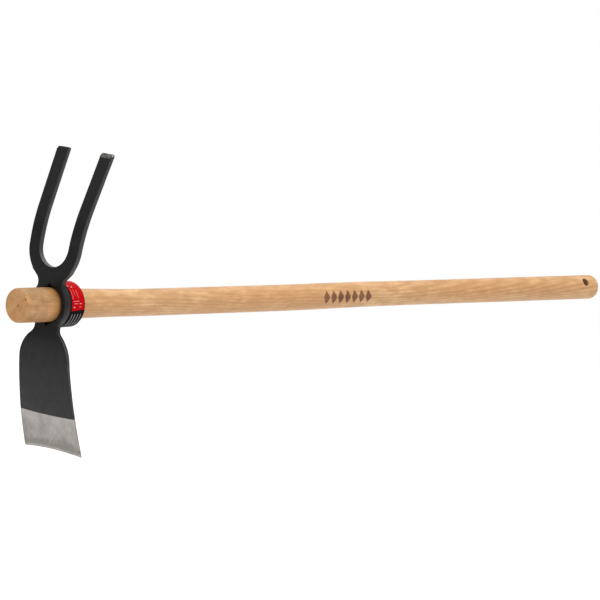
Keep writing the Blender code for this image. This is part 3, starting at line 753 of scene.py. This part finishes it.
# The collar is joined on behind the plate. A bar leaned by halves cuts each notch, and a cone with
# a chamfered mouth bores the eye.
collar_start, collar_end = EYE_FRONT + FORK_ROOT_THICKNESS / 2, EYE_FRONT + EYE_LENGTH
rim_radius = COLLAR_BACK_RADIUS - COLLAR_ROUND
collar_rim = arc((collar_end - COLLAR_ROUND, rim_radius), COLLAR_ROUND, math.pi / 2, 0,
                 COLLAR_ROUND_STEPS)
join_or_cut(head, turn("collar", [(collar_start, COLLAR_RADIUS), *collar_rim]), "UNION")
wall = handle_radius(EYE_FRONT) + FIT_CLEARANCE
for side in (1, -1):
    bpy.ops.object.select_all(action="DESELECT")
    bpy.ops.mesh.primitive_cube_add(size=NOTCH_BAR, rotation=(math.pi / 4, 0, 0))
    notch = start_piece("notch")
    bar_shape = (2 * EYE_LENGTH / NOTCH_BAR, NOTCH_WIDTH / 2 / (NOTCH_DEPTH + FIT_CLEARANCE), 1)
    bpy.ops.transform.resize(value=bar_shape, center_override=(0, 0, 0))
    for half in (-1, 1):
        corners = bmesh.from_edit_mesh(notch.data)
        for vertex in corners.verts:
            vertex.select = vertex.co.x * half > 0
        corners.select_flush_mode()
        bmesh.update_edit_mesh(notch.data)
        bpy.ops.transform.translate(value=(0, 0, -half * side * NOTCH_LEAN))
    bpy.ops.mesh.select_all(action="SELECT")
    bpy.ops.mesh.bevel(offset=NOTCH_ROUND, segments=4, affect="EDGES")
    bpy.ops.transform.translate(value=(EYE_FRONT + EYE_LENGTH / 2, 0,
                                       side * (wall + NOTCH_DEPTH - NOTCH_BAR / math.sqrt(2))))
    bpy.ops.object.mode_set(mode="OBJECT")
    join_or_cut(head, notch, "DIFFERENCE")
mouth, bore_end = EYE_FRONT + MOUTH_CHAMFER, collar_end + BORE_OVERRUN
cone = [(x, handle_radius(x) + FIT_CLEARANCE) for x in evenly(mouth, bore_end, BORE_STEPS)]
chamfer_start = (EYE_FRONT - BORE_OVERRUN, cone[0][1] + MOUTH_CHAMFER + BORE_OVERRUN)
join_or_cut(head, turn("bore", [chamfer_start, *cone]), "DIFFERENCE")

outward = [vertex.normal.copy() for vertex in head.data.vertices]
for vertex, normal in zip(head.data.vertices, outward):
    reach = math.hypot(vertex.co.y, vertex.co.z)
    off_bore = ease((reach - SMOOTH_AROUND_BORE) / BORE_FADE)
    hammered = off_bore * ease((vertex.co.z - GRIND_TOP) / GRIND_FADE)
    dent = UNEVENNESS * hammered * 0.5 * (1 + noise.noise(vertex.co * HAMMER_WAVES))
    vertex.co -= normal * dent

# The lacquer's own black, and its tones where it is dusty, darker as painted shade round the eye,
# thin, lighter as a painted highlight in the crotch, and dark along the ground face.
LACQUER_BLACK = (0.0088, 0.0085, 0.0086)
LACQUER_DUSTY = (0.0165, 0.0160, 0.0160)
LACQUER_SHADE = (0.0046, 0.0044, 0.0045)
LACQUER_THIN = (0.037, 0.037, 0.037)
LACQUER_HIGHLIGHT = (0.105, 0.103, 0.100)
LACQUER_LINE = (0.004, 0.004, 0.004)
GROUND_LIGHT = (0.415, 0.397, 0.374)
GROUND_DARK = (0.200, 0.188, 0.170)
# Heights where the painted shade round the eye and the painted highlight in the crotch begin, are
# full, fade and end.
SHADED_BAND = (-0.105, -0.075, 0.035, 0.065)
CROTCH_BAND = (CROTCH_HEIGHT - 0.006, CROTCH_HEIGHT - 0.003,
               CROTCH_HEIGHT + 0.012, CROTCH_HEIGHT + 0.022)
DUSTY_FORK = (0.070, 0.115)
THIN_START = 0.004
TIP_WEAR_START = 0.1474
TIP_WEAR_FADE = 0.0016
WORN_TINE_SIDE = 0.006
GRIND_LINE_FADE = 0.0002
GRIND_LINE_RAGGED = 0.0008
DARK_LINE_HEIGHT = 0.0022
DARK_LINE_FADE = 0.0004
HONED_FADE = 0.0003
SMUDGE_HEIGHT = 0.013


def band(value, start, full, fade, end):
    """1 from full to fade, 0 before start and after end."""
    return calculate("MULTIPLY", remap(value, start, full), remap(value, fade, end, 1.0, 0.0))


lacquered_steel, tree, shader = new_material("lacquered_and_ground_steel")
coordinates = add_node("ShaderNodeTexCoord")
place = coordinates.outputs["Object"]
along, across, up = parts_of(place)
normal_x, normal_y, normal_z = parts_of(coordinates.outputs["Normal"])
across_share = calculate("POWER", calculate("MULTIPLY", across, 2 / BLADE_WIDTH_AT_EDGE), 2.0)
bowed = calculate("SUBTRACT", 1.0, across_share)
line_noise = calculate("SUBTRACT", noise_along((900, 900, 300), detail=2), 0.5)
above_line = calculate("ADD", calculate("SUBTRACT", up, GRIND_TOP),
                       calculate("ADD", calculate("MULTIPLY", line_noise, GRIND_LINE_RAGGED),
                                 calculate("MULTIPLY", bowed, GRIND_BOW)))
ground = calculate("MULTIPLY", remap(above_line, -GRIND_LINE_FADE, GRIND_LINE_FADE, 1.0, 0.0),
                   remap(normal_x, 0.3, 0.5, 1.0, 0.0))
dark_line = calculate("MULTIPLY", remap(above_line, 0.0, DARK_LINE_HEIGHT, 1.0, 0.0, "SMOOTHSTEP"),
                      remap(above_line, -DARK_LINE_FADE, DARK_LINE_FADE))
above_edge = calculate("SUBTRACT", calculate("ADD", up, BLADE_DEPTH),
                       calculate("MULTIPLY", bowed, EDGE_HOLLOW))
honed = remap(above_edge, HONED_LENGTH - HONED_FADE, HONED_LENGTH + HONED_FADE, 1.0, 0.0)
streaks = remap(noise_along((600, 900, 35), detail=4, roughness=0.65), 0.28, 0.72)
cloud = remap(noise_along((60, 75, 55), detail=3, seed=2.0), 0.36, 0.66)
smudge = calculate("MULTIPLY", remap(above_edge, HONED_LENGTH, SMUDGE_HEIGHT, 1.0, 0.0),
                   remap(noise_along((60, 130, 130), detail=3, seed=6.0), 0.38, 0.58))

# Each mark on the ground steel, and how far it darkens it. The honed edge is lighter.
ground_tone = remap(above_edge, 0.0, GRIND_LENGTH, 0.62, 0.0)
for mark, strength in ((smudge, 0.45), (cloud, 0.42), (streaks, 0.35), (honed, -0.65)):
    ground_tone = calculate("ADD", ground_tone, calculate("MULTIPLY", mark, strength))
ground_colour = blend(remap(ground_tone, 0.0, 1.1), GROUND_LIGHT, GROUND_DARK)
near_tip = remap(up, TIP_WEAR_START, TIP_WEAR_START + TIP_WEAR_FADE)
scuffs = remap(noise_along((170, 420, 420), detail=3, seed=1.3), 0.44, 0.50)
on_worn_tine = remap(across, -WORN_TINE_SIDE, WORN_TINE_SIDE, 1.0, 0.0)
worn = calculate("MULTIPLY", calculate("MULTIPLY", near_tip, scuffs), on_worn_tine)
bare = calculate("MAXIMUM", ground, worn)
dust = remap(noise_along((90, 90, 90), detail=4, roughness=0.6), 0.4, 0.75)
lacquer_colour = blend(dust, LACQUER_BLACK, LACQUER_DUSTY)
# Painted shade: the lacquer is darker in a band round the eye, the neck and the upper blade.
eye_band_shade = calculate("MULTIPLY", band(up, *SHADED_BAND), 0.9)
lacquer_colour = blend(eye_band_shade, lacquer_colour, LACQUER_SHADE)
lacquer_colour = blend(remap(up, *DUSTY_FORK), lacquer_colour, LACQUER_DUSTY)
on_side = remap(calculate("ABSOLUTE", normal_y), 0.45, 0.8)
off_eye = remap(calculate("ABSOLUTE", up), EYE_RADIUS, EYE_RADIUS + THIN_START)
lacquer_colour = blend(calculate("MULTIPLY", on_side, off_eye), lacquer_colour, LACQUER_THIN)
# Painted highlight: the crotch's inner wall is lighter where it faces up.
crotch_highlight = calculate("MULTIPLY", band(up, *CROTCH_BAND), remap(normal_z, 0.25, 0.75))
lacquer_colour = blend(crotch_highlight, lacquer_colour, LACQUER_HIGHLIGHT)
lacquer_colour = blend(calculate("MULTIPLY", dark_line, 0.7), lacquer_colour, LACQUER_LINE)
tree.links.new(blend(bare, lacquer_colour, ground_colour), shader.inputs["Base Color"])
tree.links.new(calculate("MULTIPLY", bare, 0.9), shader.inputs["Metallic"])
lacquer_gloss = remap(noise_along((160, 160, 160), detail=3), 0.3, 0.7, 0.40, 0.52)
ground_gloss = remap(streaks, 0.0, 1.0, 0.42, 0.58)
gloss = add_node("ShaderNodeMix", {0: bare, 2: lacquer_gloss, 3: ground_gloss}).outputs[0]
tree.links.new(gloss, shader.inputs["Roughness"])
shader.inputs["Specular IOR Level"].default_value = 0.24
orange_peel = noise_along((700, 700, 700), detail=3)
grit = noise_along((2400, 2400, 2400), detail=2)
lacquer_height = calculate("ADD", orange_peel, calculate("MULTIPLY", grit, 0.4))
ground_height = calculate("MULTIPLY", streaks, 0.35)
relief = add_node("ShaderNodeMix", {0: ground, 2: lacquer_height, 3: ground_height}).outputs[0]
bump = add_node("ShaderNodeBump", {"Height": relief, "Strength": 0.6, "Distance": 0.00012})
tree.links.new(bump.outputs[0], shader.inputs["Normal"])
finish_piece(head, lacquered_steel, "head", sharp=28)


# Label: a strip of printed glossy film stuck round the collar, red above and black below, with its
# two ends a few millimetres apart on the far side. Short pale bars and rules are printed on it.
LABEL_SETBACK = 0.0095
LABEL_START = EYE_FRONT + LABEL_SETBACK
LABEL_WIDTH = 0.0185
LABEL_CLEARANCE = 0.0003
LABEL_THICKNESS = 0.00035
LABEL_TURN = math.radians(352.5)
LABEL_TURN_STEPS = 180
LABEL_CELLS = 24
LABEL_SKEW = 0.0020
LABEL_CRINKLE = 0.00006
CRINKLE_WAVES = 160
bpy.ops.object.select_all(action="DESELECT")
bpy.ops.mesh.primitive_grid_add(x_subdivisions=LABEL_CELLS, y_subdivisions=1, size=1)
label = start_piece("wrapped_label")
bpy.ops.transform.resize(value=(LABEL_WIDTH, LABEL_THICKNESS, 1), center_override=(0, 0, 0))
section = bmesh.from_edit_mesh(label.data)
for vertex in section.verts:
    x = LABEL_START + LABEL_WIDTH / 2 + vertex.co.x
    back_share = (x - EYE_FRONT) / EYE_LENGTH
    cone_radius = COLLAR_RADIUS + back_share * (COLLAR_BACK_RADIUS - COLLAR_RADIUS)
    vertex.co = (x, cone_radius + LABEL_CLEARANCE + LABEL_THICKNESS / 2 + vertex.co.y, 0)
bmesh.update_edit_mesh(label.data)
bpy.ops.mesh.select_all(action="SELECT")
bpy.ops.mesh.spin(steps=LABEL_TURN_STEPS, angle=LABEL_TURN, center=(0, 0, 0), axis=(1, 0, 0))
bpy.ops.mesh.select_all(action="SELECT")
bpy.ops.mesh.normals_make_consistent(inside=False)
bpy.ops.object.mode_set(mode="OBJECT")
for vertex in label.data.vertices:
    outward = Vector((0, vertex.co.y, vertex.co.z)).normalized()
    vertex.co += outward * LABEL_CRINKLE * noise.noise(vertex.co * CRINKLE_WAVES)
    front_share = 1 - (vertex.co.x - LABEL_START) / LABEL_WIDTH
    vertex.co.x += LABEL_SKEW * (1 + outward.z) / 2 * front_share

LABEL_RED = (0.46, 0.0015, 0.0045)
LABEL_BLACK = (0.0012, 0.0012, 0.0014)
LABEL_PALE = (0.80, 0.72, 0.70)
COLOUR_LINE = (-0.0038, -0.0023)
COLOUR_LINE_FADE = 0.0001
printed, tree, shader = new_material("printed_film")
place = add_node("ShaderNodeTexCoord").outputs["Object"]
along, across, up = parts_of(place)
angle = calculate("ARCTAN2", up, calculate("MULTIPLY", across, -1.0))
boundary = remap(along, LABEL_START, LABEL_START + LABEL_WIDTH, *COLOUR_LINE)
red = remap(calculate("SUBTRACT", up, boundary), -COLOUR_LINE_FADE, COLOUR_LINE_FADE)


def printed_bar(x, half_width, degrees, half_degrees, ink):
    """The strength of the ink inside a bar of the print, 0 outside."""
    in_width = calculate("COMPARE", along, x, half_width)
    in_turn = calculate("COMPARE", angle, math.radians(degrees), math.radians(half_degrees))
    return calculate("MULTIPLY", calculate("MULTIPLY", in_width, in_turn), ink)


# Bars of the print: middle x, half width, middle and half angle in degrees, strength of the ink.
bars = (
    (0.0548, 0.0003, 34, 13, 0.22), (0.0585, 0.0003, 38, 9, 0.14), (0.0622, 0.0003, 34, 11, 0.22),
    (0.0590, 0.0042, 15, 0.7, 0.35), (0.0585, 0.0024, 9, 0.7, 0.4), (0.0645, 0.0014, 9, 0.7, 0.5),
    (0.0560, 0.0008, 0, 1.4, 0.6), (0.0640, 0.0016, 1, 0.7, 0.3),
    (0.0545, 0.0009, 58, 1.4, 0.6), (0.0590, 0.0008, 55, 1.4, 0.6),
    *((0.0547 + 0.0040 * line, 0.0004, -35, 18, 0.32) for line in range(4)),
)
print_mask = 0.0
for bar in bars:
    print_mask = calculate("MAXIMUM", print_mask, printed_bar(*bar))
label_colour = blend(red, LABEL_BLACK, LABEL_RED)
tree.links.new(blend(print_mask, label_colour, LABEL_PALE), shader.inputs["Base Color"])
shader.inputs["Roughness"].default_value = 0.42
shader.inputs["Specular IOR Level"].default_value = 0.03
crinkle = noise_along((260, 260, 260), detail=2)
bump = add_node("ShaderNodeBump", {"Height": crinkle, "Strength": 0.3, "Distance": 0.0002})
tree.links.new(bump.outputs[0], shader.inputs["Normal"])
finish_piece(label, printed, "label", sharp=50)
